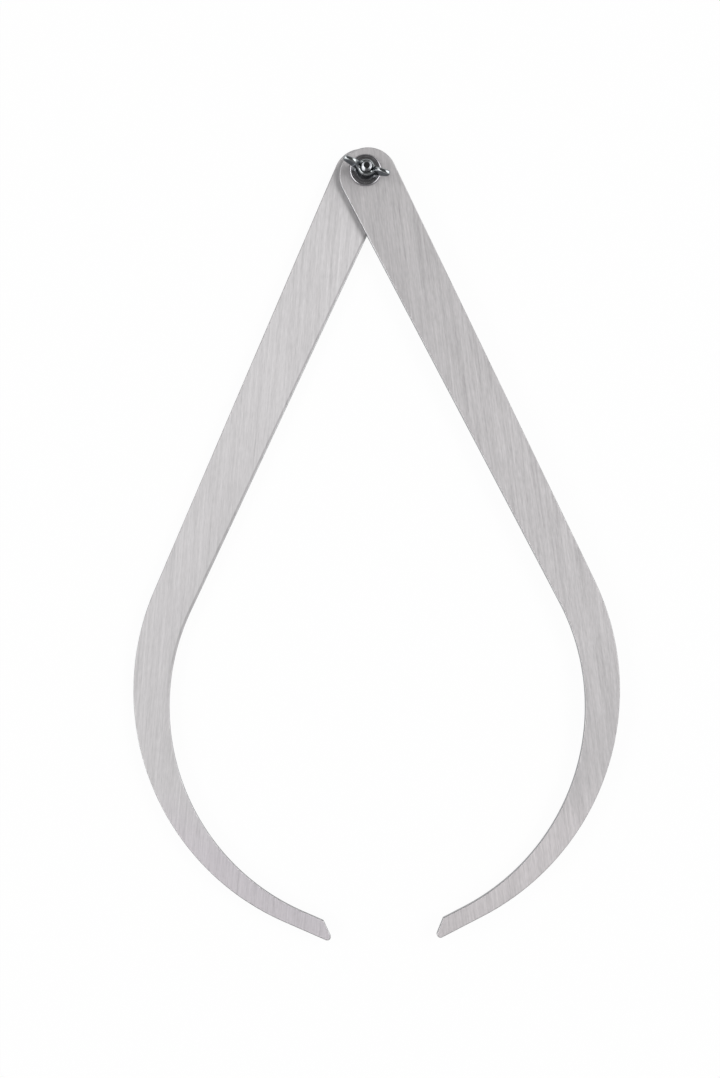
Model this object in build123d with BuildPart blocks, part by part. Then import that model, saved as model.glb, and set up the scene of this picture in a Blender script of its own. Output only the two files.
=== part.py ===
from build123d import *
from math import cos, pi, radians, sin, tan
import os

# An outside measuring caliper: two bowed sheet arms, pinned together at their broad ends by a
# screw, a washer and a wing nut. It lies on the screw's head with the arms stacked along Z,
# the pivot axis on Z and the measuring tips towards -Y. All lengths are millimetres.

# Arm blank: reach, centres and offsets run along the arm's straight axis from the pivot
arm_thickness = 2.5
pivot_half_width = 11.4
edge_taper = 1.0
pivot_end_offset = 2.5
arm_reach = 281.9
outer_bow_radius = 98.8
inner_bow_radius = 87.5
arm_edge_round = 0.35

# Measuring nib, the straight end of the bow, which points across the arm's axis
nib_width = 6.6
nib_straight = 9.0
nib_cut_angle = 49.0
nib_point_round = 1.4
nib_heel_round = 0.5

# Angle between the two arms as they are set
opening_angle = 50.7

# Pivot screw, with a head of flat sides
shank_diameter = 4.0
screw_length = 14.0
screw_end_chamfer = 0.55
head_sides = 6
head_across_flats = 7.0
head_height = 2.8
head_face_diameter = 6.6
head_chamfer_angle = 30.0

# Radial clearances on the screw's shank
arm_clearance = 0.06
washer_clearance = 0.10
thread_clearance = 0.05

# Washer
washer_diameter = 12.7
washer_thickness = 1.0
washer_rim_round = 0.35

# Wing nut: heights are above its seat on the washer
hub_base_diameter = 7.6
hub_top_diameter = 5.6
hub_height = 5.4
hub_rim_round = 0.4
bore_countersink = 0.3
countersink_angle = 90.0
wing_span = 19.3
wing_height = 9.5
wing_tip_radius = 2.7
wing_root_radius = 1.7
wing_root_reach = 2.0
wing_root_height = 2.3
wing_thickness = 2.0
wing_edge_round = 0.7
wing_angle = -20.7

# The stack along the pivot axis, worked out from the thicknesses above
shank_radius = shank_diameter / 2
under_arms = head_height
between_arms = under_arms + arm_thickness
over_arms = between_arms + arm_thickness
nut_seat = over_arms + washer_thickness


def arm_piece(name, side):
    """One flat arm with its pivot hole; side is -1 for the arm that opens towards -X, else 1.

    Both arms are the same blank, turned over and laid back to back, so each is drawn on the
    face where they meet: x runs down the arm, y towards its outer edge, and the sheet lies on
    the side that the plane faces.
    """
    lean = radians(opening_angle / 2)
    face = Plane(
        origin=(0, 0, between_arms), x_dir=(side * sin(lean), -cos(lean), 0), z_dir=(0, 0, side)
    )
    taper = radians(edge_taper)
    inner_reach = arm_reach - nib_width
    outer_centre = arm_reach - outer_bow_radius
    inner_centre = inner_reach - inner_bow_radius

    def half_width(along):
        """Half the width between the two straight, tapering edges."""
        return pivot_half_width - tan(taper) * along

    with BuildPart() as arm:
        with BuildSketch(face):
            with BuildLine():
                pivot_end = CenterArc(
                    (pivot_end_offset, 0),
                    half_width(pivot_end_offset) * cos(taper),
                    start_angle=90 - edge_taper,
                    arc_size=180 + 2 * edge_taper,
                )
                outer_bow = CenterArc(
                    (outer_centre, half_width(outer_centre) - outer_bow_radius / cos(taper)),
                    outer_bow_radius,
                    start_angle=90 - edge_taper,
                    arc_size=edge_taper - 90,
                )
                inner_bow = CenterArc(
                    (inner_centre, -half_width(inner_centre) - inner_bow_radius / cos(taper)),
                    inner_bow_radius,
                    start_angle=90 + edge_taper,
                    arc_size=-edge_taper - 90,
                )
                Line(pivot_end @ 0, outer_bow @ 0)
                Line(pivot_end @ 1, inner_bow @ 0)
                heel = inner_bow @ 1 - Vector(0, nib_straight)
                point = heel + Vector(nib_width, -nib_width * tan(radians(nib_cut_angle)))
                Polyline(outer_bow @ 1, point, heel, inner_bow @ 1)
            make_face()
            fillet(vertices().sort_by(Axis.Y)[1], nib_heel_round)
            fillet(vertices().sort_by(Axis.Y)[0], nib_point_round)
        extrude(amount=arm_thickness)
        fillet(faces().filter_by(Axis.Z).edges(), arm_edge_round)
        with Locations(face):
            Hole(shank_radius + arm_clearance)
    arm.part.label = name
    return arm


lower_arm = arm_piece("lower_arm", side=-1)
upper_arm = arm_piece("upper_arm", side=1)

# Screw: a hexagon head with its corners turned off, and a plain shank with a chamfered end
with BuildPart() as pivot_screw:
    with BuildSketch():
        RegularPolygon(head_across_flats / 2, side_count=head_sides, major_radius=False)
    extrude(amount=head_height)
    head_corner_radius = head_across_flats / 2 / cos(pi / head_sides)
    corner_rise = (head_corner_radius - head_face_diameter / 2) * tan(radians(head_chamfer_angle))
    with BuildSketch(Plane.XZ):
        with BuildLine():
            Polyline(
                (0, 0),
                (head_face_diameter / 2, 0),
                (head_corner_radius, corner_rise),
                (head_corner_radius, head_height),
                (0, head_height),
                close=True,
            )
        make_face()
    revolve(axis=Axis.Z, mode=Mode.INTERSECT)
    with BuildSketch(Plane.XY.offset(head_height)):
        Circle(shank_radius)
    extrude(amount=screw_length)
    chamfer(faces().sort_by(Axis.Z)[-1].edges(), screw_end_chamfer)
pivot_screw.part.label = "pivot_screw"

# Washer: stamped, with its upper rim rounded by the punch
with BuildPart() as washer:
    with BuildSketch(Plane.XY.offset(over_arms)):
        Circle(washer_diameter / 2)
        Circle(shank_radius + washer_clearance, mode=Mode.SUBTRACT)
    extrude(amount=washer_thickness)
    fillet(faces().sort_by(Axis.Z)[-1].outer_wire().edges(), washer_rim_round)
washer.part.label = "washer"

# Wing nut: two rounded wings that grow out of a tapered hub, with a through bore
with BuildPart() as wing_nut:
    across = radians(wing_angle)
    side_view = Plane(
        origin=(0, 0, nut_seat),
        x_dir=(cos(across), sin(across), 0),
        z_dir=(sin(across), -cos(across), 0),
    )
    with BuildSketch(side_view):
        with Locations((wing_span / 2 - wing_tip_radius, wing_height - wing_tip_radius)):
            Circle(wing_tip_radius)
        with Locations((wing_root_reach, wing_root_height)):
            Circle(wing_root_radius)
        make_hull()
        mirror(about=Plane.YZ)
    extrude(amount=wing_thickness / 2, both=True)
    fillet(faces().filter_by(Axis(side_view.origin, side_view.z_dir)).edges(), wing_edge_round)
    with BuildSketch(side_view):
        with BuildLine():
            Polyline(
                (0, 0),
                (hub_base_diameter / 2, 0),
                (hub_top_diameter / 2, hub_height),
                (0, hub_height),
                close=True,
            )
        make_face()
        fillet(vertices().group_by(Axis.Y)[-1].sort_by(Axis.X)[-1], hub_rim_round)
    revolve(axis=Axis.Z)
    bore_radius = shank_radius + thread_clearance
    with Locations((0, 0, nut_seat + hub_height)):
        CounterSinkHole(
            bore_radius, bore_radius + bore_countersink, counter_sink_angle=countersink_angle
        )
wing_nut.part.label = "wing_nut"

os.makedirs("parts", exist_ok=True)
for piece in (lower_arm, upper_arm, pivot_screw, washer, wing_nut):
    export_step(piece.part, f"parts/{piece.part.label}.step")
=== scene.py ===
"""An outside measuring caliper, dressed and lit.

The two bowed arms keep their own shape and get a brushed finish. The screw gets its thread, the
washer its turned rings and the wing nut its cast form, each in the place of its plain solid.
Lengths are millimetres in the classes and metres in the meshes.
"""

import logging
from dataclasses import dataclass
from enum import Enum
from math import atan2, ceil, cos, degrees, hypot, pi, radians, sin, tan
from typing import Optional, Union

import bmesh
import bpy
from mathutils import Euler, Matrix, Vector
from mathutils.geometry import tessellate_polygon


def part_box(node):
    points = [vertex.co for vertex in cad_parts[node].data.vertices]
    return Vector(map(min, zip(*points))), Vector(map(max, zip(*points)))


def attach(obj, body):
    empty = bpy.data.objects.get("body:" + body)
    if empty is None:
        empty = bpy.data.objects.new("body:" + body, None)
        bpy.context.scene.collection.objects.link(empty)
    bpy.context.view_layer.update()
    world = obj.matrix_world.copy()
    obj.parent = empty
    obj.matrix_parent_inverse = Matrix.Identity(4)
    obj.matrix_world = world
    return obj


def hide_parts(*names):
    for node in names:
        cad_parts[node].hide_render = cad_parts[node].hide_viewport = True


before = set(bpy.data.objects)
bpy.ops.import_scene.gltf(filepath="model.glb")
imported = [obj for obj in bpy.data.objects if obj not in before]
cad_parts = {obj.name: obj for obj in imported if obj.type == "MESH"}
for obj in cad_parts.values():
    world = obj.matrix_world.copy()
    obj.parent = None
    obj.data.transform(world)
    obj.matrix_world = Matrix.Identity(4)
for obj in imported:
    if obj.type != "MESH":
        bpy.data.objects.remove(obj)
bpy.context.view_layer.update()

log = logging.getLogger("caliper")

MM = 0.001
WELD = 1e-7
FULL_TURN = 2 * pi
BRUSHING_MAP = "brushing"
WHITE = (1.0, 1.0, 1.0, 1.0)

Colour = tuple[float, float, float]
Point = tuple[float, float]
Span = tuple[float, float]
Number = Union["Field", float]
Paint = Union["Field", Colour]


class Side(Enum):
    """Which way an arm opens from the pivot, seen from above."""

    LEFT = -1
    RIGHT = 1


class Blend(Enum):
    """How two colours are put together."""

    MIX = "MIX"
    MULTIPLY = "MULTIPLY"


class Field:
    """A number that varies over a surface or a space, on which arithmetic adds Math nodes."""

    def __init__(self, graph: "Graph", socket: bpy.types.NodeSocket) -> None:
        """Wraps an output socket of the graph."""
        self.graph = graph
        self.socket = socket

    def _math(self, operation: str, *others: Number) -> "Field":
        """Adds a Math node of this operation, with the others in its sockets after this field."""
        values = dict(enumerate((self, *others)))
        return self.graph.field("ShaderNodeMath", values, operation=operation)

    def __add__(self, other: Number) -> "Field":
        """Sum of two numbers."""
        return self._math("ADD", other)

    def __sub__(self, other: Number) -> "Field":
        """Difference of two numbers."""
        return self._math("SUBTRACT", other)

    def __rsub__(self, other: float) -> "Field":
        """A plain number less this field."""
        return self._math("MULTIPLY", -1.0) + other

    def __mul__(self, other: Number) -> "Field":
        """Product of two numbers."""
        return self._math("MULTIPLY", other)

    def __truediv__(self, other: Number) -> "Field":
        """Quotient of two numbers."""
        return self._math("DIVIDE", other)

    __radd__ = __add__
    __rmul__ = __mul__

    def size(self) -> "Field":
        """The number without its sign."""
        return self._math("ABSOLUTE")

    def sine(self) -> "Field":
        """Sine of an angle in radians."""
        return self._math("SINE")

    def cosine(self) -> "Field":
        """Cosine of an angle in radians."""
        return self._math("COSINE")

    def root(self) -> "Field":
        """Square root."""
        return self._math("SQRT")

    def fraction(self) -> "Field":
        """What is left over a whole number."""
        return self._math("FRACT")

    def least(self, other: Number) -> "Field":
        """The smaller of two numbers."""
        return self._math("MINIMUM", other)

    def most(self, other: Number) -> "Field":
        """The larger of two numbers."""
        return self._math("MAXIMUM", other)

    def blended_least(self, other: Number, reach: Number) -> "Field":
        """The smaller of two numbers, with a rounded change from one to the other."""
        return self._math("SMOOTH_MIN", other, reach)

    def blended_most(self, other: Number, reach: Number) -> "Field":
        """The larger of two numbers, with a rounded change from one to the other."""
        return self._math("SMOOTH_MAX", other, reach)

    def within_one(self) -> "Field":
        """The number held between nought and one."""
        return self.most(0.0).least(1.0)

    def fade(self, start: float, end: float) -> "Field":
        """A smooth rise from nought at start to one at end, which may be the lower of the two."""
        share = ((self - start) / (end - start)).within_one()
        return share * share * (3.0 - share * 2.0)


def distance(first: Field, second: Field) -> Field:
    """Length of the longest side of a right triangle with these two sides."""
    return (first * first + second * second).root()


class Graph:
    """A node tree that is written as formulas."""

    def __init__(self, tree: bpy.types.NodeTree) -> None:
        """Wraps an empty node tree."""
        self.tree = tree

    def node(self, kind: str, inputs: Optional[dict] = None, **settings: object) -> bpy.types.Node:
        """Adds a node.

        Args:
            kind: the node's type name.
            inputs: fields, sockets or plain values for its sockets, by their names or numbers.
            settings: the node's own properties, such as its operation.

        Returns:
            The new node.
        """
        made = self.tree.nodes.new(kind)
        for name, value in settings.items():
            setattr(made, name, value)
        for key, value in (inputs or {}).items():
            self.fill(made.inputs[key], value)
        return made

    def fill(self, socket: bpy.types.NodeSocket, value: object) -> None:
        """Links or sets an input socket.

        Args:
            socket: the input socket.
            value: a field or an output socket to link to it, or a plain value.
        """
        source = value.socket if isinstance(value, Field) else value
        if isinstance(source, bpy.types.NodeSocket):
            self.tree.links.new(source, socket)
        else:
            socket.default_value = source

    def field(
        self, kind: str, inputs: Optional[dict] = None, output: int = 0, **settings: object
    ) -> Field:
        """Adds a node and returns one of its outputs, the first unless it is numbered."""
        return Field(self, self.node(kind, inputs, **settings).outputs[output])

    def vector(self, x: Number, y: Number, z: Number) -> Field:
        """Three numbers as one vector."""
        return self.field("ShaderNodeCombineXYZ", {0: x, 1: y, 2: z})

    def parts(self, vector: Field) -> list[Field]:
        """A vector's three numbers."""
        made = self.node("ShaderNodeSeparateXYZ", {0: vector})
        return [Field(self, socket) for socket in made.outputs]

    def noise(self, place: Field, scale: float = 1.0, detail: float = 0.0) -> Field:
        """Noise about nought.

        Args:
            place: where it is read.
            scale: how many lumps there are in one unit of place.
            detail: how many finer layers it has.

        Returns:
            Noise from about -0.5 to 0.5.
        """
        values = {"Vector": place, "Scale": scale, "Detail": detail}
        return self.field("ShaderNodeTexNoise", values) - 0.5


class SurfaceGraph(Graph):
    """The node tree of a material, with its shader and its place on the object in millimetres."""

    def __init__(self, name: str) -> None:
        """Makes an empty material with one metal shader.

        Args:
            name: the material's name.
        """
        self.material = bpy.data.materials.new(name)
        self.material.use_nodes = True
        super().__init__(self.material.node_tree)
        self.tree.nodes.clear()
        self.shader = self.node("ShaderNodeBsdfPrincipled", {"Metallic": 1.0})
        self.node("ShaderNodeOutputMaterial", {"Surface": self.shader.outputs[0]})
        coordinates = self.node("ShaderNodeTexCoord")
        metres = self.parts(Field(self, coordinates.outputs["Object"]))
        self.x, self.y, self.z = [part / MM for part in metres]
        self.upward = self.parts(Field(self, coordinates.outputs["Normal"]))[2]

    def set(self, name: str, value: object) -> None:
        """Sets or links one of the shader's sockets."""
        self.fill(self.shader.inputs[name], value)

    def mix(self, share: Number, first: Paint, second: Paint, blend: Blend = Blend.MIX) -> Field:
        """Two colours put together.

        Args:
            share: how much of the second there is.
            first: a colour, or a field that holds one.
            second: a colour, or a field that holds one.
            blend: how they are put together.

        Returns:
            The new colour.
        """
        paints = [paint if isinstance(paint, Field) else (*paint, 1.0) for paint in (first, second)]
        values = {0: share, 6: paints[0], 7: paints[1]}
        return self.field("ShaderNodeMix", values, 2, data_type="RGBA", blend_type=blend.value)

    def scaled(self, colour: Paint, factor: Field) -> Field:
        """A colour made lighter or darker by a factor near one."""
        grey = self.field("ShaderNodeCombineColor", {0: factor, 1: factor, 2: factor})
        return self.mix(1.0, colour, grey, Blend.MULTIPLY)

    def turned(self, angle: float) -> tuple[Field, Field]:
        """Place along and across a direction in the plane of the arms.

        Args:
            angle: the direction's angle from -Y, in degrees, towards +X.

        Returns:
            Place along it and place across it, in millimetres.
        """
        along = self.x * sin(radians(angle)) - self.y * cos(radians(angle))
        across = self.x * cos(radians(angle)) + self.y * sin(radians(angle))
        return along, across

    def rings(self, radius: Field, pitch: float, unevenness: float, wander: float) -> Field:
        """Uneven circles round the pivot.

        Args:
            radius: distance from the pivot, in millimetres.
            pitch: mean distance between two circles.
            unevenness: how often that distance changes, in one millimetre.
            wander: how much it changes, in radians of the wave.

        Returns:
            A wave from -1 to 1.
        """
        shift = self.noise(self.vector(radius, 0.0, 0.0), scale=unevenness) * wander
        return (radius * (FULL_TURN / pitch) + shift).sine()

    def bump(self, height: Field) -> None:
        """Tilts the surface as a relief of this height, in millimetres, would."""
        values = {"Height": height, "Distance": MM, "Strength": 1.0}
        self.set("Normal", self.field("ShaderNodeBump", values))


@dataclass(frozen=True)
class Streaks:
    """One family of brushing lines.

    Attributes:
        width: how far apart the lines lie, in millimetres.
        length: how long a line is, in millimetres.
        shade: how much lighter or darker a line is, as a share.
        seed: tells this family's pattern from the others.
        sparse_gain: lifts a few strong lines out of faint ones, or nought where all are alike.
    """

    width: float
    length: float
    shade: float
    seed: float
    sparse_gain: float = 0.0

    def lightening(
        self, graph: SurfaceGraph, along: Field, across: Field, sheet_seed: float
    ) -> Field:
        """The family's lines.

        Args:
            graph: the material's node tree.
            along: place along the brushing, in millimetres.
            across: place across the brushing, in millimetres.
            sheet_seed: tells this sheet's lines from another's.

        Returns:
            How much lighter or darker they are, about nought.
        """
        place = graph.vector(across / self.width, along / self.length, self.seed + sheet_seed)
        line = graph.noise(place, detail=1.0) * 2.0
        if self.sparse_gain:
            line = line * line * line * self.sparse_gain
        return line * self.shade


BRUSHING = (
    Streaks(width=0.34, length=7.0, shade=0.110, seed=0.7),
    Streaks(width=0.50, length=2.6, shade=0.090, seed=2.9),
    Streaks(width=0.60, length=34.0, shade=0.070, seed=1.3),
    Streaks(width=1.25, length=46.0, shade=0.072, seed=4.7),
    Streaks(width=2.9, length=60.0, shade=0.050, seed=8.1),
    Streaks(width=0.9, length=60.0, shade=0.16, seed=11.9, sparse_gain=4.0),
)


@dataclass(frozen=True)
class PaintedEdgeShade:
    """Painted shade: a dark line painted on a sheet just inside its inner edge, where the edge is shaded.

    Attributes:
        facing: direction that the straight part of the edge faces, in degrees from +X.
        reach: distance of that straight line from the pivot, in millimetres.
        bow_start: how far down that line the edge starts to bend.
        bow_radius: radius of the bend.
        line: distances from the edge where the dull line starts and stops.
        blur: how softly it starts and stops, in millimetres.
        end: distances from the pivot between which it sets in, the nearer one last.
        upward: how far up the surface looks where it sets in, the flat face last.
        shade: how much lighter it is, as a share, so below nought where it is darker.
        patches: how many patches there are in a millimetre of it.
        patchiness: how much its shade varies from patch to patch, as a share.
    """

    facing: float
    reach: float = 11.4
    bow_start: float = 186.1
    bow_radius: float = 87.5
    line: Span = (0.25, 1.0)
    blur: float = 0.2
    end: Span = (225.0, 195.0)
    upward: Span = (0.5, 0.9)
    shade: float = -0.26
    patches: float = 0.2
    patchiness: float = 0.6

    def lightening(self, graph: SurfaceGraph, radius: Field) -> Field:
        """How much lighter the upper face is there.

        Args:
            graph: the material's node tree.
            radius: distance from the pivot, in millimetres.

        Returns:
            The change, as a share, which is nought everywhere else.
        """
        along, outward = graph.turned(self.facing)
        below = self.reach - outward
        past_start = (along - self.bow_start).most(0.0)
        inside = distance(past_start, below + self.bow_radius) - self.bow_radius
        start, stop = self.line
        band = inside.fade(start - self.blur, start + self.blur)
        band = band * inside.fade(stop + self.blur, stop - self.blur)
        band = band * radius.fade(*self.end) * graph.upward.fade(*self.upward)
        patches = graph.noise(graph.vector(graph.y, 0.0, 0.0), scale=self.patches, detail=2.0)
        return band * (patches * self.patchiness + 1.0) * self.shade


@dataclass(frozen=True)
class BrushedSheet:
    """Satin sheet metal, brushed one way before it was cut.

    Attributes:
        name: the material's name.
        colour: the brushed face, darker on the right arm as painted shade.
        tip_colour_painted_light: the brushed face at the measuring end, lighter or darker than the rest
            as painted light and shade.
        edge_highlight_colour: the filed edge near the pivot, where a lighter colour is a painted
            highlight.
        lean: the brushing's angle from straight down, in degrees, towards +X.
        strength: how strong the brushing lines are, where one is plain.
        seed: tells this sheet's lines from another's.
        painted_edge_shade: the painted shade line inside its inner edge, where it has one.
        streaks: the families of brushing lines, the finest first.
        edge_colour: the filed edge.
        wall_colour: the sheet's side, which shears cut.
        roughness: roughness of the brushed face.
        edge_roughness: roughness of the filed edge.
        anisotropy: how much more the brushing spreads light across it than along it.
        streak_roughness: how much smoother a lighter line is.
        streak_depth: height of the brushing's relief, in millimetres.
        face_end: how far up or down the surface looks where the face turns into the filed edge.
        edge_end: how far it does where the filed edge turns into the side.
        tip_painted_light_drift: distances from the pivot between which the colour changes to the tip's
            painted colour.
        edge_highlight_span: distances from the pivot between which the edge turns bright, as a painted
            highlight.
        ring_radii: where the washer has worn circles round the pivot.
        ring_blur: how softly they set in towards the pivot, in millimetres.
        ring_pitch: distance between two circles.
        ring_unevenness: how often that distance changes, in one millimetre.
        ring_wander: how much it changes, in radians.
        ring_shade: how much lighter or darker a circle is, as a share.
        ring_patches: how many patches of circles there are in a millimetre.
        ring_patch_fade: values of the patches' noise between which the circles set in.
    """

    name: str
    colour: Colour
    tip_colour_painted_light: Colour
    edge_highlight_colour: Colour
    lean: float
    strength: float
    seed: float
    painted_edge_shade: Optional[PaintedEdgeShade] = None
    streaks: tuple[Streaks, ...] = BRUSHING
    edge_colour: Colour = (0.43, 0.425, 0.43)
    wall_colour: Colour = (0.30, 0.30, 0.31)
    roughness: float = 0.56
    edge_roughness: float = 0.38
    anisotropy: float = 0.7
    streak_roughness: float = 0.5
    streak_depth: float = 0.0015
    face_end: Span = (0.985, 0.90)
    edge_end: Span = (0.80, 0.35)
    tip_painted_light_drift: Span = (250.0, 277.0)
    edge_highlight_span: Span = (55.0, 27.0)
    ring_radii: Span = (6.6, 9.5)
    ring_blur: float = 0.5
    ring_pitch: float = 0.62
    ring_unevenness: float = 1.3
    ring_wander: float = 6.0
    ring_shade: float = 0.022
    ring_patches: float = 0.16
    ring_patch_fade: Span = (-0.05, 0.2)

    def material(self) -> bpy.types.Material:
        """Builds the material.

        Returns:
            The new material.
        """
        graph = SurfaceGraph(self.name)
        radius = distance(graph.x, graph.y)
        shade = self._lines(graph)
        worked = shade + self._circles(graph, radius)
        lightness = 1.0 + worked
        # painted shade: a dark line along the inner edge
        if self.painted_edge_shade:
            lightness = lightness + self.painted_edge_shade.lightening(graph, radius)
        level = graph.upward.size()
        edge = level.fade(*self.face_end)
        # painted light and shade: far from the pivot the face colour drifts to the tip's colour
        face = graph.mix(radius.fade(*self.tip_painted_light_drift), self.colour, self.tip_colour_painted_light)
        # painted highlight: the edge takes the highlight colour near the pivot
        filed = graph.mix(radius.fade(*self.edge_highlight_span), self.edge_colour, self.edge_highlight_colour)
        rim = graph.mix(level.fade(*self.edge_end), filed, self.wall_colour)
        graph.set("Base Color", graph.mix(edge, graph.scaled(face, lightness), rim))
        face_roughness = self.roughness - shade * self.streak_roughness
        graph.set("Roughness", face_roughness * (1.0 - edge) + edge * self.edge_roughness)
        graph.bump(worked * (self.streak_depth / (self.streaks[0].shade * self.strength)))
        graph.set("Anisotropic", self.anisotropy)
        across_grain = graph.field("ShaderNodeTangent", direction_type="UV_MAP", uv_map=BRUSHING_MAP)
        graph.set("Tangent", across_grain)
        return graph.material

    def _lines(self, graph: SurfaceGraph) -> Field:
        """The brushing lines.

        Args:
            graph: the material's node tree.

        Returns:
            How much lighter or darker the lines are, about nought.
        """
        along, across = graph.turned(self.lean)
        families = [family.lightening(graph, along, across, self.seed) for family in self.streaks]
        return sum(families[1:], families[0]) * self.strength

    def _circles(self, graph: SurfaceGraph, radius: Field) -> Field:
        """Faint circles that the washer has worn around the pivot.

        Args:
            graph: the material's node tree.
            radius: distance from the pivot, in millimetres.

        Returns:
            How much lighter or darker the circles are, about nought.
        """
        inner, outer = self.ring_radii
        patches = graph.noise(graph.vector(graph.x, graph.y, 0.0), scale=self.ring_patches)
        near = radius.fade(inner - self.ring_blur, inner) * radius.fade(outer, inner)
        near = near * patches.fade(*self.ring_patch_fade)
        circles = graph.rings(radius, self.ring_pitch, self.ring_unevenness, self.ring_wander)
        return circles * near * self.ring_shade


@dataclass(frozen=True)
class Plating:
    """Bright plating on steel, dark except where it mirrors a lamp.

    Attributes:
        name: the material's name.
        colour: the plating's colour.
        roughness: its mean roughness.
        grain: how many lumps of its surface there are in a millimetre.
        grain_depth: height of the lumps, in millimetres.
        smear: how much the roughness varies.
        clouds: how many clouds of tone there are in a millimetre.
        cloud_shade: how much lighter or darker a cloud is, as a share.
        ring_pitch: distance between turned rings, or nought where there are none.
        ring_depth: height of the turned rings, in millimetres.
        ring_shade: how much lighter and rougher they are, about nought.
        ring_unevenness: how often the distance between rings changes, in one millimetre.
        ring_wander: how much it changes, in radians.
        worn_pitch: distance between the broader rings that the nut has worn.
        worn_shade: how much lighter and rougher those are, about nought.
        worn_wander: how much the distance between them changes, in radians.
        upward_painted_shade: how dark the faces that look straight up are painted, as painted shade for
            the dark overhead that they mirror.
        flat_start: how far up a face looks where that darkness sets in.
        grazing_tint: how much it mirrors along the surface.
    """

    name: str
    colour: Colour
    roughness: float
    grain: float
    grain_depth: float
    smear: float
    clouds: float = 0.55
    cloud_shade: float = 0.5
    ring_pitch: float = 0.0
    ring_depth: float = 0.0
    ring_shade: float = 0.08
    ring_unevenness: float = 0.9
    ring_wander: float = 5.0
    worn_pitch: float = 1.0
    worn_shade: float = 0.21
    worn_wander: float = 2.0
    upward_painted_shade: float = 1.0
    flat_start: Span = (0.93, 0.99)
    grazing_tint: Colour = (0.25, 0.26, 0.28)

    def material(self) -> bpy.types.Material:
        """Builds the material.

        Returns:
            The new material.
        """
        graph = SurfaceGraph(self.name)
        place = graph.vector(graph.x, graph.y, graph.z)
        cloud = graph.noise(place, scale=self.clouds, detail=2.0)
        relief = graph.noise(place, scale=self.grain, detail=2.0) * self.grain_depth
        if self.ring_pitch:
            radius = distance(graph.x, graph.y)
            turned = graph.rings(radius, self.ring_pitch, self.ring_unevenness, self.ring_wander)
            worn = graph.rings(radius, self.worn_pitch, self.ring_unevenness, self.worn_wander)
            relief = relief + turned * self.ring_depth
            cloud = cloud + turned * self.ring_shade + worn * self.worn_shade
        # painted shade: faces that look straight up are darkened
        flat = graph.upward.fade(*self.flat_start) * (self.upward_painted_shade - 1.0)
        lightness = (1.0 + cloud * self.cloud_shade) * (1.0 + flat)
        graph.set("Base Color", graph.scaled(self.colour, lightness))
        graph.set("Specular Tint", (*self.grazing_tint, 1.0))
        graph.set("Roughness", cloud * self.smear + self.roughness)
        graph.bump(relief)
        return graph.material


class ShapeGraph(Graph):
    """A Geometry Nodes tree with named sizes, which is run once and leaves a plain mesh."""

    def __init__(self, name: str) -> None:
        """Makes an empty tree.

        Args:
            name: the tree's name.
        """
        super().__init__(bpy.data.node_groups.new(name, "GeometryNodeTree"))
        self.tree.interface.new_socket("Geometry", in_out="OUTPUT", socket_type="NodeSocketGeometry")
        self.entry = self.tree.nodes.new("NodeGroupInput")
        self.values: dict[str, float] = {}

    def size_input(self, name: str, value: float) -> Field:
        """Adds a named size.

        Args:
            name: the input's name.
            value: its value, in millimetres unless the name says otherwise.

        Returns:
            The size as a field.
        """
        item = self.tree.interface.new_socket(name, in_out="INPUT", socket_type="NodeSocketFloat")
        self.values[item.identifier] = value
        return Field(self, self.entry.outputs[name])

    def place(self) -> list[Field]:
        """Where each point is, as three numbers."""
        return self.parts(self.field("GeometryNodeInputPosition"))

    def run(self, shape: Field, material: bpy.types.Material, name: str) -> bpy.types.Object:
        """Ends the tree, runs it once and keeps its result.

        Args:
            shape: the finished geometry.
            material: what the piece is finished with.
            name: the piece's name.

        Returns:
            An object with a plain, smooth mesh and no modifier.
        """
        smooth = self.field("GeometryNodeSetShadeSmooth", {0: shape})
        real = self.field("GeometryNodeRealizeInstances", {0: smooth})
        dressed = self.field("GeometryNodeSetMaterial", {"Geometry": real, "Material": material})
        self.node("NodeGroupOutput", {0: dressed})
        piece = bpy.data.objects.new(name, bpy.data.meshes.new(name))
        bpy.context.scene.collection.objects.link(piece)
        modifier = piece.modifiers.new(name, "NODES")
        modifier.node_group = self.tree
        for identifier, value in self.values.items():
            modifier[identifier] = value
        graph = bpy.context.evaluated_depsgraph_get()
        mesh = bpy.data.meshes.new_from_object(piece.evaluated_get(graph), depsgraph=graph)
        piece.modifiers.clear()
        piece.data = mesh
        mesh.name = name
        mesh.materials.clear()
        mesh.materials.append(material)
        mesh.polygons.foreach_set("material_index", [0] * len(mesh.polygons))
        return piece


def link_mesh(
    name: str, shape: bmesh.types.BMesh, material: bpy.types.Material, merge: bool = True
) -> bpy.types.Object:
    """Makes an object of a finished shape.

    Args:
        name: the piece's name.
        shape: its shape, which is freed.
        material: what it is finished with.
        merge: whether its doubles are merged, which may renumber its vertices.

    Returns:
        The new object, with a smooth mesh that stands at the origin.
    """
    if merge:
        bmesh.ops.remove_doubles(shape, verts=shape.verts, dist=WELD)
    bmesh.ops.recalc_face_normals(shape, faces=shape.faces)
    mesh = bpy.data.meshes.new(name)
    shape.to_mesh(mesh)
    shape.free()
    mesh.materials.append(material)
    mesh.polygons.foreach_set("use_smooth", [True] * len(mesh.polygons))
    piece = bpy.data.objects.new(name, mesh)
    bpy.context.scene.collection.objects.link(piece)
    return piece


def arc(centre: Point, radius: float, first: float, last: float, step: float) -> list[Point]:
    """Points of an arc.

    Args:
        centre: its centre.
        radius: its radius.
        first: where it starts, in degrees.
        last: where it ends, in degrees.
        step: the largest angle between two points, in degrees.

    Returns:
        The points, with both ends.
    """
    count = max(2, ceil(abs(last - first) / step))
    angles = [radians(first + (last - first) * number / count) for number in range(count + 1)]
    return [(centre[0] + radius * cos(a), centre[1] + radius * sin(a)) for a in angles]


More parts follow.
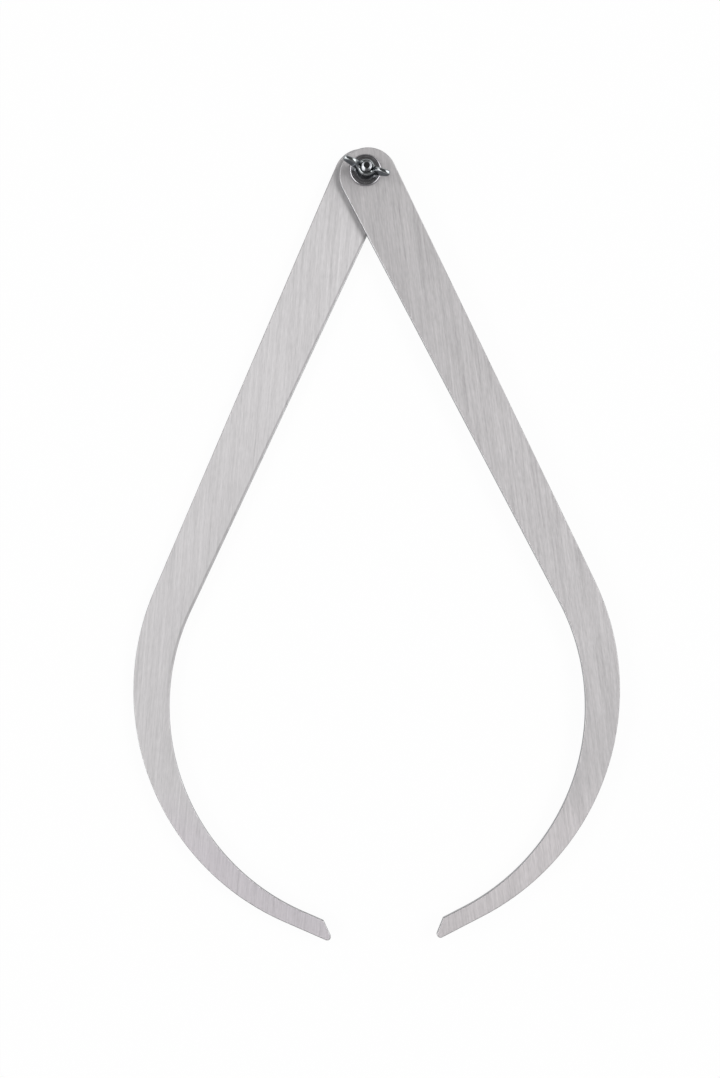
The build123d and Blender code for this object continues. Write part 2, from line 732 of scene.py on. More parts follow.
def rounded_corner(
    before: Point, corner: Point, after: Point, radius: float, step: float
) -> list[Point]:
    """Points of the arc that rounds a corner.

    Args:
        before: a point on the line into the corner.
        corner: the sharp corner.
        after: a point on the line out of it.
        radius: the rounding.
        step: the largest angle between two points, in degrees.

    Returns:
        The arc's points, from the first line to the second.
    """
    sharp = Vector(corner)
    into = (Vector(before) - sharp).normalized()
    out = (Vector(after) - sharp).normalized()
    half = into.angle(out) / 2
    centre = sharp + (into + out).normalized() * (radius / sin(half))
    start = sharp + into * (radius / tan(half)) - centre
    end = sharp + out * (radius / tan(half)) - centre
    first = atan2(start.y, start.x)
    sweep = (atan2(end.y, end.x) - first + pi) % FULL_TURN - pi
    return arc(tuple(centre), radius, degrees(first), degrees(first + sweep), step)


@dataclass
class Arm:
    """One bowed sheet arm with rounded edges, cut as its solid is and finer.

    Both arms are one blank, the right one turned over. The outline is drawn with x down the arm
    from the pivot and y towards its outer edge.

    Attributes:
        node: the arm's node.
        side: which way it opens.
        finish: its finish.
        lean: angle between the arm's straight axis and -Y, in degrees.
        half_width: half the arm's width at the pivot.
        taper: slope of each straight edge, in degrees.
        end_offset: centre of the round pivot end.
        reach: length from the pivot to the far side of the bow.
        outer_radius: radius of the bow's outer edge.
        inner_radius: radius of the bow's inner edge.
        nib_width: width of the measuring nib.
        nib_straight: length of its straight inner edge.
        nib_cut_angle: slope of its cut end, in degrees.
        point_round: rounding of its point.
        heel_round: rounding of its heel.
        edge_round: rounding of the sheet's edges.
        hole_radius: radius of the pivot hole.
        hole_reach: what counts as the hole's wall, in hole radii from the axis.
        bow_step: largest angle between two points of the bow, in degrees.
        end_step: the same at the round pivot end.
        corner_step: the same at the nib's point and heel.
        hole_step: the same round the pivot hole.
        round_steps: faces across the rounding of an edge.
    """

    node: str
    side: Side
    finish: BrushedSheet
    lean: float = 25.35
    half_width: float = 11.4
    taper: float = 1.0
    end_offset: float = 2.5
    reach: float = 281.9
    outer_radius: float = 98.8
    inner_radius: float = 87.5
    nib_width: float = 6.6
    nib_straight: float = 9.0
    nib_cut_angle: float = 49.0
    point_round: float = 1.4
    heel_round: float = 0.5
    edge_round: float = 0.35
    hole_radius: float = 2.06
    hole_reach: float = 1.1
    bow_step: float = 0.75
    end_step: float = 2.5
    corner_step: float = 6.0
    hole_step: float = 7.5
    round_steps: int = 6

    def build(self) -> None:
        """Builds the arm in the place of its solid."""
        low, high = [corner.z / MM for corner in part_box(self.node)]
        outline = self._outline()
        rings = self._rings(outline, self._outward(outline), low, high)
        hole = arc((0.0, 0.0), self.hole_radius, 0.0, 360.0, self.hole_step)[:-1]
        rings.append([(x, y, low, 0.0, 0.0, -1.0) for x, y in hole])
        rings.append([(x, y, high, 0.0, 0.0, 1.0) for x, y in hole])
        shape = bmesh.new()
        slants: list[Vector] = []
        loops = [[self._vertex(shape, slants, *spot) for spot in ring] for ring in rings]
        *loops, lower_rim, upper_rim = loops
        for lower, upper in zip(loops, loops[1:]):
            self._strip(shape, lower, upper)
        self._face(shape, loops[0], lower_rim)
        self._face(shape, loops[-1], upper_rim)
        self._strip(shape, lower_rim, upper_rim)
        piece = link_mesh(f"{self.node}_sheet", shape, self.finish.material(), merge=False)
        self._smooth(piece.data, slants)
        self._map_brushing(piece.data)
        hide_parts(self.node)
        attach(piece, self.node)
        log.info("%s: %d faces", self.node, len(piece.data.polygons))

    def _outline(self) -> list[Point]:
        """Draws the blank.

        Returns:
            Its outline, from the outer bow round the nib and the pivot end.
        """
        taper = radians(self.taper)
        outer_x = self.reach - self.outer_radius
        inner_x = self.reach - self.nib_width - self.inner_radius
        outer = (outer_x, self.half_width - tan(taper) * outer_x - self.outer_radius / cos(taper))
        inner = (inner_x, tan(taper) * inner_x - self.half_width - self.inner_radius / cos(taper))
        outer_bow = arc(outer, self.outer_radius, 90 - self.taper, 0.0, self.bow_step)
        inner_bow = arc(inner, self.inner_radius, 0.0, 90 + self.taper, self.bow_step)
        heel = (inner_bow[0][0], inner_bow[0][1] - self.nib_straight)
        cut = self.nib_width * tan(radians(self.nib_cut_angle))
        point = (heel[0] + self.nib_width, heel[1] - cut)
        nib = rounded_corner(outer_bow[-1], point, heel, self.point_round, self.corner_step)
        nib += rounded_corner(point, heel, inner_bow[0], self.heel_round, self.corner_step)
        end_centre = (self.end_offset, 0.0)
        end_radius = (self.half_width - tan(taper) * self.end_offset) * cos(taper)
        end = arc(end_centre, end_radius, 270 + self.taper, 90 - self.taper, self.end_step)
        return outer_bow + nib + inner_bow + end

    def _outward(self, outline: list[Point]) -> list[Vector]:
        """Finds which way the outline faces.

        Args:
            outline: the blank's outline, whose points go clockwise.

        Returns:
            Its outward direction at each point.
        """
        points = [Vector(point) for point in outline]
        runs = [(after - spot).normalized() for spot, after in zip(points, points[1:] + points[:1])]
        means = [(run + runs[number - 1]).normalized() for number, run in enumerate(runs)]
        return [Vector((-mean.y, mean.x)) for mean in means]

    def _rings(
        self, outline: list[Point], normals: list[Vector], base: float, top: float
    ) -> list[list[tuple[float, ...]]]:
        """The outline repeated from the lower face, round the edge, to the upper face.

        Args:
            outline: the blank's outline.
            normals: its outward directions.
            base: height of the lower face.
            top: height of the upper face.

        Returns:
            Rings of points with their normals.
        """
        angles = [90.0 * number / self.round_steps for number in range(self.round_steps + 1)]
        levels = [(base + self.edge_round, -90.0 + angle) for angle in angles]
        levels += [(top - self.edge_round, angle) for angle in angles]
        rings = []
        for centre, angle in levels:
            out, up = cos(radians(angle)), sin(radians(angle))
            inset = self.edge_round * (1 - out)
            height = centre + self.edge_round * up
            rings.append(
                [
                    (x - n.x * inset, y - n.y * inset, height, n.x * out, n.y * out, up)
                    for (x, y), n in zip(outline, normals)
                ]
            )
        return rings

    def _vertex(self, shape: bmesh.types.BMesh, slants: list[Vector], *spot: float) -> bmesh.types.BMVert:
        """Adds a vertex of the blank where the arm lies.

        Args:
            shape: the arm's mesh.
            slants: the normals of its vertices so far.
            spot: its place and its normal in the blank.

        Returns:
            The new vertex.
        """
        x, y, z, normal_x, normal_y, normal_z = spot
        slants.append(Vector((*self._turned(normal_x, normal_y), normal_z)))
        place_x, place_y = self._turned(x, y)
        return shape.verts.new((place_x * MM, place_y * MM, z * MM))

    def _turned(self, along: float, outward: float) -> Point:
        """Lays a place or a direction of the blank as it lies in the caliper.

        Args:
            along: how far down the arm it is.
            outward: how far towards the outer edge it is.

        Returns:
            The same along X and Y.
        """
        lean = radians(self.lean)
        sideways = along * sin(lean) + outward * cos(lean)
        return self.side.value * sideways, outward * sin(lean) - along * cos(lean)

    def _strip(self, shape: bmesh.types.BMesh, lower: list, upper: list) -> None:
        """Joins two rings with a strip of faces."""
        for number, corner in enumerate(lower):
            shape.faces.new((lower[number - 1], corner, upper[number], upper[number - 1]))

    def _face(self, shape: bmesh.types.BMesh, ring: list, rim: list) -> None:
        """Fills one flat face of the arm.

        Args:
            shape: the arm's mesh.
            ring: the face's outer vertices.
            rim: its vertices round the hole.
        """
        corners = [*ring, *rim]
        loops = [[vertex.co for vertex in loop] for loop in (ring, rim)]
        for triangle in tessellate_polygon(loops):
            shape.faces.new([corners[number] for number in triangle])

    def _smooth(self, mesh: bpy.types.Mesh, slants: list[Vector]) -> None:
        """Sets the sheet's true normals, which stay flat up to its rounded edge.

        Args:
            mesh: the arm's mesh.
            slants: the normals of its vertices outside the hole's wall.
        """
        reach = self.hole_reach * self.hole_radius * MM
        normals = []
        for face in mesh.polygons:
            spots = [mesh.vertices[number].co for number in face.vertices]
            in_hole = all(hypot(spot.x, spot.y) < reach for spot in spots)
            for number, spot in zip(face.vertices, spots):
                wall = Vector((-spot.x, -spot.y, 0.0)).normalized()
                normals.append(wall if in_hole else slants[number])
        mesh.normals_split_custom_set(normals)

    def _map_brushing(self, mesh: bpy.types.Mesh) -> None:
        """Lays a map on the sheet whose first axis runs across the brushing.

        Args:
            mesh: the arm's mesh.
        """
        lean = radians(self.finish.lean)
        layer = mesh.uv_layers.new(name=BRUSHING_MAP)
        for loop in mesh.loops:
            x, y, z = mesh.vertices[loop.vertex_index].co
            across = x * cos(lean) + y * sin(lean)
            along = x * sin(lean) - y * cos(lean)
            layer.data[loop.index].uv = (across + z, along + z / 2)


@dataclass
class PivotScrew:
    """The hexagon screw that the arms turn on, with a sixty degree thread cut to its end.

    Attributes:
        finish: its finish.
        across_flats: width of the hexagon.
        head_height: height of the head.
        face_diameter: flat circle under the head, inside the turned corners.
        chamfer_angle: slope of the turned corners, in degrees.
        side_steps: faces along one side of the hexagon.
        head_crease: angle above which an edge of the head looks sharp, in degrees.
        thread_radius: outer radius of the thread.
        pitch: rise of the thread in one turn.
        thread_depth: depth of the thread's groove.
        crest_share: width of the thread's crest, as a share of the pitch.
        groove_share: width of its groove's floor, as a share of the pitch.
        end_chamfer: how much the end's rim is cut back.
        end_slope: how far that cut falls for each millimetre outwards.
        seat_overlap: how deep the rod stands in the head.
        columns: faces around the rod.
        rows: faces along one turn.
        thread_crease: angle above which an edge of the thread looks sharp, in degrees.
    """

    finish: Plating
    across_flats: float = 7.0
    head_height: float = 2.8
    face_diameter: float = 6.6
    chamfer_angle: float = 30.0
    side_steps: int = 12
    head_crease: float = 25.0
    thread_radius: float = 1.98
    pitch: float = 0.7
    thread_depth: float = 0.43
    crest_share: float = 0.125
    groove_share: float = 0.25
    end_chamfer: float = 0.75
    end_slope: float = 0.58
    seat_overlap: float = 0.2
    columns: int = 72
    rows: int = 12
    thread_crease: float = 30.0

    def build(self) -> None:
        """Builds the screw in the place of its solid."""
        low, high = [corner.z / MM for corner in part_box("pivot_screw")]
        material = self.finish.material()
        rod = self._rod(low + self.head_height - self.seat_overlap, high, material)
        head = self._head(low, material)
        for piece in (rod, head):
            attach(piece, "lower_arm")
        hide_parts("pivot_screw")
        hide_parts("pivot_screw")
        log.info("pivot screw: thread of %d faces", len(rod.data.polygons))

    def _rod(self, foot: float, tip: float, material: bpy.types.Material) -> bpy.types.Object:
        """Builds the threaded rod: a grid whose rows follow the helix, closed by two discs.

        Args:
            foot: height at which the rod starts.
            tip: height at which it ends.
            material: what the rod is finished with.

        Returns:
            The new object.
        """
        graph = ShapeGraph("screw_thread")
        radius = graph.size_input("Radius", self.thread_radius)
        pitch = graph.size_input("Pitch", self.pitch)
        depth = graph.size_input("Depth", self.thread_depth)
        start = graph.size_input("Start", foot)
        end = graph.size_input("End", tip)
        chamfer = graph.size_input("End chamfer", self.end_chamfer)
        slope = graph.size_input("End slope", self.end_slope)
        turns = int((tip - foot) / self.pitch) + 2
        counts = {"Vertices X": self.columns + 1, "Vertices Y": turns * self.rows + 1}
        sheet = graph.field("GeometryNodeMeshGrid", {"Size X": 1.0, "Size Y": float(turns), **counts})
        across, along, _ = graph.place()
        turn = across + 0.5
        row = along + (turns / 2 - 1)
        height = ((row + turn) * pitch + start).most(start).least(end)
        from_crest = ((row.fraction() - 0.5) * 2.0).size()
        groove_side = 1 - self.groove_share
        share = ((groove_side - from_crest) / (groove_side - self.crest_share)).within_one()
        core = radius - depth
        cut_back = (end - height) / slope + radius - chamfer
        rod = (core + share * depth).least(cut_back).least(height - start + core)
        angle = turn * FULL_TURN
        spot = graph.vector(rod * angle.cosine() * MM, rod * angle.sine() * MM, height * MM)
        rolled = graph.field("GeometryNodeSetPosition", {"Geometry": sheet, "Position": spot})
        top_lid = self._lid(graph, radius - chamfer, end)
        foot_lid = graph.field("GeometryNodeFlipFaces", {0: self._lid(graph, core, start)})
        joined = graph.node("GeometryNodeJoinGeometry")
        for shape in (rolled, top_lid, foot_lid):
            graph.tree.links.new(shape.socket, joined.inputs[0])
        welded = graph.field("GeometryNodeMergeByDistance", {0: joined.outputs[0], "Distance": WELD})
        rod = graph.run(welded, material, "screw_thread")
        rod.data.set_sharp_from_angle(angle=radians(self.thread_crease))
        return rod

    def _lid(self, graph: ShapeGraph, radius: Field, height: Field) -> Field:
        """A disc that closes one end of the rod and faces up.

        Args:
            graph: the rod's tree.
            radius: the disc's radius.
            height: where it lies.

        Returns:
            The disc.
        """
        sizes = {"Vertices": self.columns, "Radius": radius * MM}
        disc = graph.field("GeometryNodeMeshCircle", sizes, fill_type="TRIANGLE_FAN")
        spot = graph.vector(0.0, 0.0, height * MM)
        return graph.field("GeometryNodeTransform", {"Geometry": disc, "Translation": spot})

    def _head(self, base: float, material: bpy.types.Material) -> bpy.types.Object:
        """Builds the hexagon head, lying with its turned corners down.

        Args:
            base: height of the head's flat face.
            material: what the head is finished with.

        Returns:
            The new object.
        """
        shape = bmesh.new()
        count = 6 * self.side_steps
        slope = tan(radians(self.chamfer_angle))
        inner = self.face_diameter / 2
        outline = []
        for step in range(count):
            angle = FULL_TURN * step / count
            from_flat = (angle + pi / 6) % (pi / 3) - pi / 6
            outline.append((angle, self.across_flats / 2 / cos(from_flat)))
        top = base + self.head_height
        rings: list[list[bmesh.types.BMVert]] = []
        for share, height in ((0.0, base), (1.0, base), (1.0, top), (0.0, top)):
            ring = []
            for angle, reach in outline:
                radius = inner + (reach - inner) * share
                rise = (reach - inner) * slope if share and height == base else 0.0
                spot = (radius * cos(angle) * MM, radius * sin(angle) * MM, (height + rise) * MM)
                ring.append(shape.verts.new(spot))
            rings.append(ring)
        for lower, upper in zip(rings, rings[1:]):
            for step in range(count):
                after = (step + 1) % count
                shape.faces.new((lower[step], lower[after], upper[after], upper[step]))
        shape.faces.new(rings[0][::-1])
        shape.faces.new(rings[-1])
        head = link_mesh("screw_head", shape, material)
        head.data.set_sharp_from_angle(angle=radians(self.head_crease))
        return head


@dataclass
class Washer:
    """The round washer under the nut, with a rounded rim and shallow turned rings.

    Attributes:
        finish: its finish.
        bore_radius: radius of its hole.
        rim_round: radius of its upper rim.
        burr_round: radius of its lower rim and its hole's rims.
        ring_pitch: distance between two turned rings.
        ring_depth: height of a turned ring above its groove.
        ring_gain: how fast the rings set in from either side of the face, where one takes it all.
        columns: faces around the washer.
        face_steps: faces from the rim to the hole.
        round_step: largest angle between two points of a rounding, in degrees.
    """

    finish: Plating
    bore_radius: float = 2.1
    rim_round: float = 0.7
    burr_round: float = 0.08
    ring_pitch: float = 0.95
    ring_depth: float = 0.016
    ring_gain: float = 6.0
    columns: int = 160
    face_steps: int = 72
    round_step: float = 11.25

    def build(self) -> None:
        """Builds the washer in the place of its solid."""
        low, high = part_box("washer")
        section = self._section(high.x / MM, low.z / MM, high.z / MM)
        piece = link_mesh("washer_turned", self._lathe(section), self.finish.material())
        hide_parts("washer")
        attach(piece, "washer")
        log.info("washer: %d faces", len(piece.data.polygons))

    def _section(self, radius: float, base: float, top: float) -> list[Point]:
        """The washer's section, from its hole outwards below and back above.

        Args:
            radius: outer radius.
            base: height of the lower face.
            top: height of the upper face.

        Returns:
            Points of radius and height.
        """
        small, large = self.burr_round, self.rim_round
        start, stop = radius - large, self.bore_radius + small
        points = arc((stop, base + small), small, 180, 270, self.round_step)
        points += arc((radius - small, base + small), small, 270, 360, self.round_step)
        points += arc((start, top - large), large, 0, 90, self.round_step)
        for step in range(1, self.face_steps):
            share = step / self.face_steps
            spot = start + (stop - start) * share
            fade = min(1.0, self.ring_gain * share, self.ring_gain * (1 - share))
            wave = (1 - cos(FULL_TURN * (start - spot) / self.ring_pitch)) / 2
            points.append((spot, top - self.ring_depth * wave * fade))
        return points + arc((stop, top - small), small, 90, 180, self.round_step)

    def _lathe(self, section: list[Point]) -> bmesh.types.BMesh:
        """Turns a closed section about the pivot axis.

        Args:
            section: points of radius and height.

        Returns:
            The turned shape.
        """
        shape = bmesh.new()
        rings = []
        for step in range(self.columns):
            angle = FULL_TURN * step / self.columns
            spots = [(r * cos(angle) * MM, r * sin(angle) * MM, z * MM) for r, z in section]
            rings.append([shape.verts.new(spot) for spot in spots])
        for ring, after in zip(rings, rings[1:] + rings[:1]):
            for spot in range(len(section)):
                beyond = (spot + 1) % len(section)
                shape.faces.new((ring[spot], ring[beyond], after[beyond], after[spot]))
        return shape


@dataclass
class WingNut:
    """The cast wing nut: a tapered hub and two rounded wings that run into it.

    Heights are above the nut's seat. The wings' section is taken where they stand, seen from
    their side, and mirrored to the other wing.

    Attributes:
        finish: its finish.
        angle: how far the wings are turned from the X axis, in degrees.
        hub_base_radius: hub's radius at its seat.
        hub_top_radius: hub's radius at its top.
        hub_height: hub's height.
        hub_round: rounding of the hub's upper rim.
        wing_reach: distance of a wing's end from the axis.
        wing_height: height of a wing's highest point.
        crown_reach: distance of that point from the axis.
        crown_radius: radius of the wing's top.
        under_edge: a point on the wing's lower edge, and the edge's slope in degrees.
        inner_edge: a point on the wing's edge towards the screw, and its slope in degrees.
        crown_round: rounding between the wing's top and its end.
        under_round: rounding between the wing's end and its lower edge.
        inner_round: rounding between the wing's top and its inner edge.
        foot_half_thickness: half the wing's thickness at the seat.
        top_half_thickness: half the wing's thickness at its top.
        edge_round: rounding of the wing's edge.
        blend: reach of the fillet between wing and hub.
        base_round: rounding of the hub's lower rim.
        bore_radius: radius of the bore.
        countersink: how far the bore is opened out at the top.
        cast_lumps: how many lumps of the cast skin there are in a millimetre.
        cast_depth: height of those lumps.
        voxel: fineness of the surface.
        margin: free space that is kept round the nut while its surface is found.
    """

    finish: Plating
    angle: float = -20.7
    hub_base_radius: float = 3.9
    hub_top_radius: float = 3.15
    hub_height: float = 5.4
    hub_round: float = 1.5
    wing_reach: float = 9.65
    wing_height: float = 9.5
    crown_reach: float = 6.8
    crown_radius: float = 5.5
    under_edge: tuple[float, float, float] = (2.94, 0.89, 33.7)
    inner_edge: tuple[float, float, float] = (2.4, 5.4, 68.0)
    crown_round: float = 1.3
    under_round: float = 3.6
    inner_round: float = 1.8
    foot_half_thickness: float = 1.45
    top_half_thickness: float = 0.74
    edge_round: float = 0.55
    blend: float = 1.9
    base_round: float = 0.3
    bore_radius: float = 2.06
    countersink: float = 0.3
    cast_lumps: float = 0.45
    cast_depth: float = 0.05
    voxel: float = 0.11
    margin: float = 0.35

    def build(self) -> None:
        """Builds the nut in the place of its solid."""
        low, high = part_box("wing_nut")
        graph = ShapeGraph("cast_wing_nut")
        reach = self.wing_reach + self.margin
        depth = self.hub_base_radius + self.margin
        height = (high.z - low.z) / MM + self.margin
        sides = zip("XYZ", (2 * reach, 2 * depth, height + self.margin))
        counts = {f"Resolution {axis}": int(side / self.voxel) for axis, side in sides}
        inside = {"Density": self._solid(graph) * -1.0, "Background": -1.0}
        space = {"Min": (-reach, -depth, -self.margin), "Max": (reach, depth, height)}
        cloud = graph.field("GeometryNodeVolumeCube", {**inside, **space, **counts})
        skin = graph.field("GeometryNodeVolumeToMesh", {"Volume": cloud, "Threshold": 0.0})
        stand = {
            "Geometry": skin,
            "Translation": (0.0, 0.0, low.z),
            "Rotation": (0.0, 0.0, radians(self.angle)),
            "Scale": (MM, MM, MM),
        }
        placed = graph.field("GeometryNodeTransform", stand)
        piece = graph.run(placed, self.finish.material(), "wing_nut_cast")
        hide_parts("wing_nut")
        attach(piece, "wing_nut")
        log.info("wing nut: %d faces", len(piece.data.polygons))

    def _solid(self, graph: ShapeGraph) -> Field:
        """Distance from the nut's surface, below nought inside it.

        Args:
            graph: the nut's tree.

        Returns:
            The distance, in millimetres.
        """
        x, y, z = graph.place()
        radius = distance(x, y)
        height = graph.size_input("Hub height", self.hub_height)
        round_reach = graph.size_input("Hub round", self.hub_round)
        blend = graph.size_input("Blend", self.blend)
        bore = graph.size_input("Bore radius", self.bore_radius)
        hub = self._hub_side(graph, radius, z, height).blended_most(z - height, round_reach)
        whole = hub.blended_least(self._wing(graph, x.size(), y.size(), z), blend)
        lumps = graph.noise(graph.vector(x, y, z), scale=self.cast_lumps, detail=1.0)
        whole = (whole + lumps * self.cast_depth).blended_most(z * -1.0, self.base_round)
        opened = (bore + z - height + self.countersink - radius) * cos(pi / 4)
        opened = opened.least(bore + self.countersink - radius)
        return whole.most(bore - radius).most(opened)

    def _hub_side(self, graph: ShapeGraph, radius: Field, z: Field, height: Field) -> Field:
        """Distance from the hub's tapered side.

        Args:
            graph: the nut's tree.
            radius: distance from the axis.
            z: height above the seat.
            height: the hub's height.

        Returns:
            The distance, in millimetres.
        """
        base = graph.size_input("Hub base radius", self.hub_base_radius)
        top = graph.size_input("Hub top radius", self.hub_top_radius)
        slant = cos(atan2(self.hub_base_radius - self.hub_top_radius, self.hub_height))
        return (radius - base - (top - base) * z / height) * slant

    def _wing(self, graph: ShapeGraph, x: Field, y: Field, z: Field) -> Field:
        """Distance from a wing: a plate with a rounded edge, wider at its lobe.

        Args:
            graph: the nut's tree.
            x: distance from the axis along the wing.
            y: distance from the wing's middle plane.
            z: height above the seat.

        Returns:
            The distance, in millimetres.
        """
        radius = graph.size_input("Crown radius", self.crown_radius)
        centre = graph.size_input("Crown reach", self.crown_reach)
        crown = distance(x - centre, z - self.wing_height + radius) - radius
        end = x - graph.size_input("Wing reach", self.wing_reach)
        outline = crown.blended_most(end, self.crown_round)
        outline = outline.blended_most(self._edge(x, z, self.under_edge), self.under_round)
        outline = outline.blended_most(self._edge(x, z, self.inner_edge) * -1.0, self.inner_round)
        foot = graph.size_input("Half thickness at the seat", self.foot_half_thickness)
        top = graph.size_input("Half thickness at the top", self.top_half_thickness)
        half = foot + (top - foot) * z / self.wing_height
        edge = graph.size_input("Edge round", self.edge_round)
        past_outline, past_face = outline + edge, y - half + edge
        corner = distance(past_outline.most(0.0), past_face.most(0.0))
        return corner + past_outline.most(past_face).least(0.0) - edge

    def _edge(self, x: Field, z: Field, line: tuple[float, float, float]) -> Field:
        """Distance below a straight line that rises outwards, and below nought above it."""
        along, height, slope = line
        return (x - along) * sin(radians(slope)) - (z - height) * cos(radians(slope))


@dataclass
class Lamp:
    """A soft oblong lamp that points at the object.

    Attributes:
        name: its name.
        place: where it stands, in metres.
        width: its longer, level side, in metres.
        height: its other side, in metres.
        brightness: how bright its face is, where one is white.
        core_brightness: how much brighter the middle of its face is.
        core_share: how large the middle is, as a share of its sides.
        aim: where it points, in metres.
    """

    name: str
    place: tuple[float, float, float]
    width: float
    height: float
    brightness: float
    core_brightness: float = 0.0
    core_share: float = 0.4
    aim: tuple[float, float, float] = (0.0, -0.12, 0.0)

    def build(self) -> None:
        """Hangs the lamp and its bright middle."""
        self._panel(self.name, 1.0, self.brightness)
        if self.core_brightness:
            self._panel(f"{self.name}_core", self.core_share, self.core_brightness)

    def _panel(self, name: str, share: float, brightness: float) -> None:
        """Hangs one lit panel.

        Args:
            name: its name.
            share: its size, as a share of the lamp's sides.
            brightness: how bright it is.
        """
        data = bpy.data.lights.new(name, "AREA")
        data.shape = "RECTANGLE"
        data.size = self.width * share
        data.size_y = self.height * share
        data.energy = brightness * pi * data.size * data.size_y
        lamp = bpy.data.objects.new(name, data)
        lamp.location = self.place
        towards = Vector(self.aim) - Vector(self.place)
        lamp.rotation_euler = towards.to_track_quat("-Z", "Y").to_euler()
        bpy.context.scene.collection.objects.link(lamp)


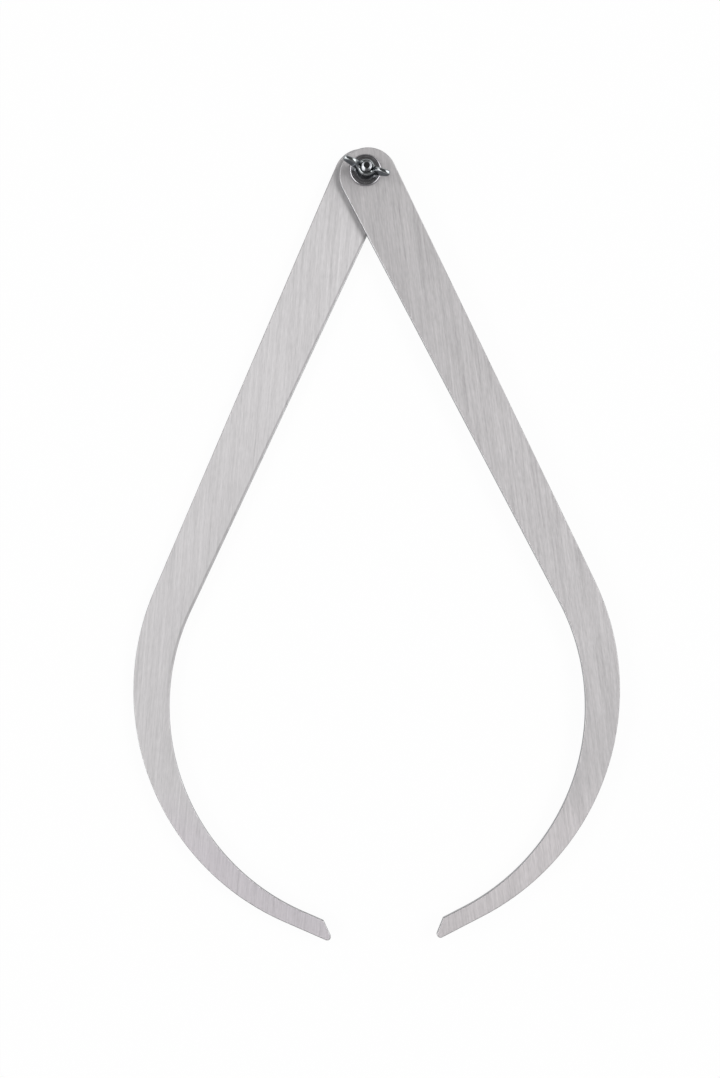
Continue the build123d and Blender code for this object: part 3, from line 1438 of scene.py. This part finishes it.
@dataclass
class Studio:
    """A plain pale floor, soft light from both sides and a camera that looks straight down.

    Attributes:
        lamps: the lamps.
        focal_pixels: the lens's focal length, in pixels of the picture.
        picture_height: the picture's longer side, in pixels.
        camera_place: where the camera is, in millimetres.
        camera_turn: how it is turned, in degrees.
        sensor: longer side of the camera's sensor, in millimetres.
        floor_side: side of the floor, in metres.
        floor_colour: colour of the floor.
        backdrop_share: how much of the floor's look is plain white.
        sky: brightness of the room where it lights the object.
        side_wall_mirrored: brightness of the walls left and right, in polished metal.
        end_wall_mirrored: brightness of the walls in front and behind there.
        ceiling_mirrored: brightness of its ceiling there, round the camera.
        corner: how far sideways a line of sight runs where the end walls meet the side walls.
        ceiling_edge: rise of a line of sight at which the walls end and the ceiling starts.
        wall_foot: rise of a line of sight at which the side walls brighten.
        foot_share: brightness of their foot, as a share of the rest.
        least_level: shortest level part of a line of sight that anything is divided by.
    """

    lamps: tuple[Lamp, ...]
    focal_pixels: float = 1946.7
    picture_height: float = 1078.0
    camera_place: tuple[float, float, float] = (-46.96, -166.10, 768.0)
    camera_turn: tuple[float, float, float] = (1.654, -3.069, -1.382)
    sensor: float = 36.0
    floor_side: float = 8.0
    floor_colour: Colour = (0.82, 0.82, 0.82)
    backdrop_share: float = 0.95
    sky: float = 0.5
    side_wall_mirrored: float = 1.8
    end_wall_mirrored: float = 0.3
    ceiling_mirrored: float = 0.12
    corner: Span = (0.35, 0.85)
    ceiling_edge: Span = (0.45, 0.85)
    wall_foot: Span = (0.10, 0.40)
    foot_share: float = 0.15
    least_level: float = 0.001

    def build(self) -> None:
        """Sets up the whole studio."""
        for lamp in self.lamps:
            lamp.build()
        self._camera()
        self._floor()
        self._room()
        bpy.context.scene.view_settings.view_transform = "Standard"
        log.info("studio: %d lamps", len(self.lamps))

    def _camera(self) -> None:
        """Puts the camera where the picture was taken from."""
        data = bpy.data.cameras.new("camera")
        data.sensor_width = self.sensor
        data.lens = self.focal_pixels / self.picture_height * self.sensor
        camera = bpy.data.objects.new("camera", data)
        camera.location = Vector(self.camera_place) * MM
        camera.rotation_euler = Euler([radians(angle) for angle in self.camera_turn])
        bpy.context.scene.collection.objects.link(camera)
        bpy.context.scene.camera = camera

    def _floor(self) -> None:
        """Lays the floor, which looks white and still takes the object's shadow."""
        material = bpy.data.materials.new("floor")
        material.use_nodes = True
        graph = Graph(material.node_tree)
        graph.tree.nodes.clear()
        plain = graph.field("ShaderNodeBsdfDiffuse", {"Color": (*self.floor_colour, 1.0)})
        white = graph.field("ShaderNodeEmission", {"Strength": 1.0})
        camera, mirror, glass = self._rays(graph)
        share = camera.most(mirror).most(glass) * self.backdrop_share
        both = graph.field("ShaderNodeMixShader", {0: share, 1: plain, 2: white})
        graph.node("ShaderNodeOutputMaterial", {"Surface": both})
        half = self.floor_side / 2
        shape = bmesh.new()
        corners = ((-half, -half), (half, -half), (half, half), (-half, half))
        shape.faces.new([shape.verts.new((x, y, 0.0)) for x, y in corners])
        link_mesh("floor", shape, material)

    def _room(self) -> None:
        """Fills the room with even light and shows it white, with a darker ceiling in mirrors."""
        world = bpy.data.worlds.new("room")
        world.use_nodes = True
        graph = Graph(world.node_tree)
        graph.tree.nodes.clear()
        sight = graph.node("ShaderNodeTexCoord").outputs["Generated"]
        across, forward, rise = graph.parts(Field(graph, sight))
        sideways = across.size() / distance(across, forward).most(self.least_level)
        lit = rise.fade(*self.wall_foot) * (1.0 - self.foot_share) + self.foot_share
        beyond_end = self.side_wall_mirrored * lit - self.end_wall_mirrored
        wall = sideways.fade(*self.corner) * beyond_end + self.end_wall_mirrored
        ceiling = rise.fade(*self.ceiling_edge)
        camera, mirror, glass = self._rays(graph)
        seen = camera.most(glass)
        room = wall * (1.0 - ceiling) + ceiling * self.ceiling_mirrored
        mirrored = room * mirror * (1.0 - seen)
        strength = (1.0 - seen.most(mirror)) * self.sky + mirrored + seen
        light = graph.field("ShaderNodeBackground", {"Color": WHITE, "Strength": strength})
        graph.node("ShaderNodeOutputWorld", {"Surface": light})
        bpy.context.scene.world = world

    def _rays(self, graph: Graph) -> list[Field]:
        """Three fields: one where the camera looks, where a mirror does, and where glass does."""
        outputs = graph.node("ShaderNodeLightPath").outputs
        return [Field(graph, outputs[f"Is {kind} Ray"]) for kind in ("Camera", "Glossy", "Transmission")]


def main() -> None:
    """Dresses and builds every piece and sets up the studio."""
    logging.basicConfig(level=logging.INFO, format="%(name)s: %(message)s")
    left = BrushedSheet(
        "left_arm_brushed",
        colour=(0.568, 0.5555, 0.562),
        # painted shade: the left arm darkens slightly towards its tip
        tip_colour_painted_light=(0.5635, 0.538, 0.5615),
        edge_highlight_colour=(0.43, 0.425, 0.43),
        lean=-5.9,
        strength=1.0,
        seed=-20.0,
        # painted shade along the left arm's inner edge
        painted_edge_shade=PaintedEdgeShade(facing=-26.35),
    )
    right = BrushedSheet(
        "right_arm_brushed",
        # painted shade: the right arm's face is darker than the left's, though both are one blank
        colour=(0.4585, 0.4455, 0.451),
        # painted light: the right arm lightens towards its tip
        tip_colour_painted_light=(0.539, 0.517, 0.5245),
        # painted highlight: the right arm's edge is lighter near the pivot
        edge_highlight_colour=(0.62, 0.615, 0.625),
        lean=5.9,
        strength=1.2,
        seed=20.0,
    )
    screw_steel = Plating(
        "screw_steel",
        colour=(0.38, 0.39, 0.41),
        roughness=0.14,
        grain=3.0,
        grain_depth=0.004,
        smear=0.15,
        # painted shade on the screw's upward faces, its end among them
        upward_painted_shade=0.45,
    )
    washer_plating = Plating(
        "washer_plating",
        colour=(0.49, 0.48, 0.50),
        roughness=0.20,
        grain=2.2,
        grain_depth=0.003,
        smear=0.2,
        ring_pitch=0.33,
        ring_depth=0.0012,
    )
    nut_plating = Plating(
        "nut_plating",
        colour=(0.40, 0.42, 0.43),
        roughness=0.10,
        grain=1.8,
        grain_depth=0.010,
        smear=0.14,
    )
    Arm("lower_arm", Side.LEFT, left).build()
    Arm("upper_arm", Side.RIGHT, right).build()
    PivotScrew(screw_steel).build()
    Washer(washer_plating).build()
    WingNut(nut_plating).build()
    Studio(
        lamps=(
            Lamp("left_lamp", (-1.05, -0.45, 0.90), 1.30, 0.80, brightness=1.6, core_brightness=5.0),
            Lamp("right_lamp", (0.98, 0.03, 1.18), 1.50, 0.85, brightness=2.1, core_brightness=5.0),
            Lamp("high_lamp", (-0.75, 0.31, 0.95), 0.30, 0.30, brightness=4.0),
        )
    ).build()


if __name__ == "__main__":
    main()
